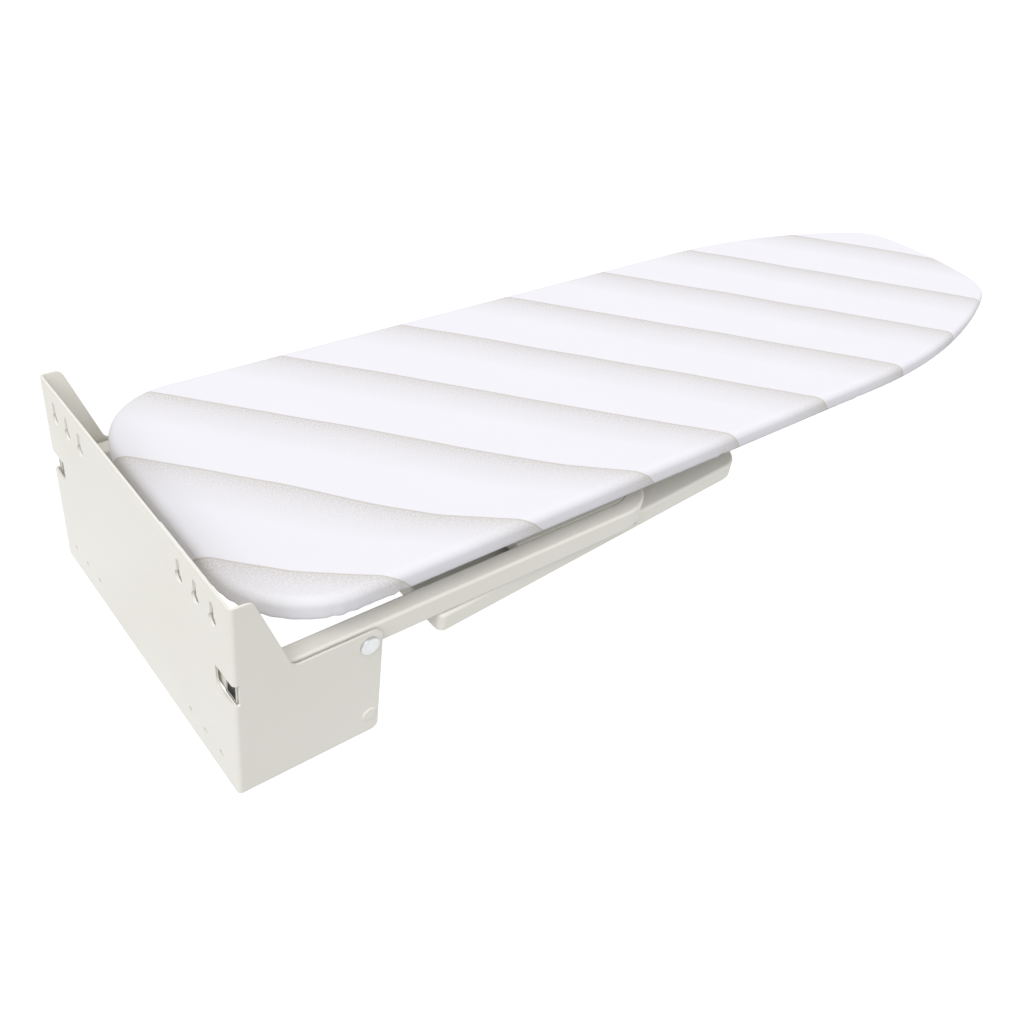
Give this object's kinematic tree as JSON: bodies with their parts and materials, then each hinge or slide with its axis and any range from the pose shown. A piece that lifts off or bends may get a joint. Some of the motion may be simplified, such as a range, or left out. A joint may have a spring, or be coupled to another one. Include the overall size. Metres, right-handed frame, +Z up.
{
  "type": "ironing board",
  "caption": "Wall-mounted folding ironing board: steel wall bracket, hinged U-shaped carrier frame and a swivelling padded board with a striped cloth cover.",
  "frame": {"origin": "on the wall face of the bracket, at mid-width, at the height of the fold hinge", "axes": "+X out from the wall, +Y to the right for a person facing the wall, +Z up"},
  "size_m": [1.0702, 0.3292, 0.186],
  "materials": {
    "white_paint": "smooth cream-white powder coat, satin",
    "zinc_steel": "bright zinc-plated steel",
    "spring_steel": "dark oiled spring steel",
    "black_rubber": "matte moulded rubber",
    "black_plastic": "black moulded polyethylene",
    "nylon": "natural nylon",
    "deck_steel": "light grey stove enamel",
    "pad_foam": "needled felt and foam underlay",
    "cover_cloth": "white cotton cover with soft silver-beige stripes"
  },
  "bodies": {
    "bracket": {"wall_bracket": "white_paint", "stop_buffers": "black_rubber", "hinge_pin_left": "zinc_steel", "hinge_pin_right": "zinc_steel", "hinge_ring_left": "spring_steel", "hinge_ring_right": "spring_steel"},
    "carrier": {"carrier_frame": "white_paint", "rear_cross_member": "white_paint", "pivot_plate": "white_paint", "hinge_bush_left": "nylon", "hinge_bush_right": "nylon", "detent_studs": "nylon", "swivel_bush": "nylon", "glide_strips": "nylon", "arm_end_plugs": "black_plastic"},
    "board": {"board_cover": "cover_cloth", "board_pad": "pad_foam", "board_deck": "deck_steel", "deck_rail_left": "white_paint", "deck_rail_right": "white_paint", "turntable_plate": "zinc_steel", "turntable_screws": "zinc_steel", "turntable_nuts": "zinc_steel", "swivel_hub": "zinc_steel", "swivel_spindle": "zinc_steel", "spindle_washer": "zinc_steel", "disc_springs": "spring_steel", "spindle_nut": "zinc_steel", "lower_tray": "white_paint"}
  },
  "joints": [
    {"name": "fold", "type": "hinge", "parent": "bracket", "child": "carrier", "pos_m": [0.109, 0, 0], "axis": [0, -1, 0], "range_deg": [0, 90]},
    {"name": "swivel", "type": "hinge", "parent": "carrier", "child": "board", "pos_m": [0.35, 0, 0], "axis": [0, 0, 1], "range_deg": [-90, 90]}
  ]
}
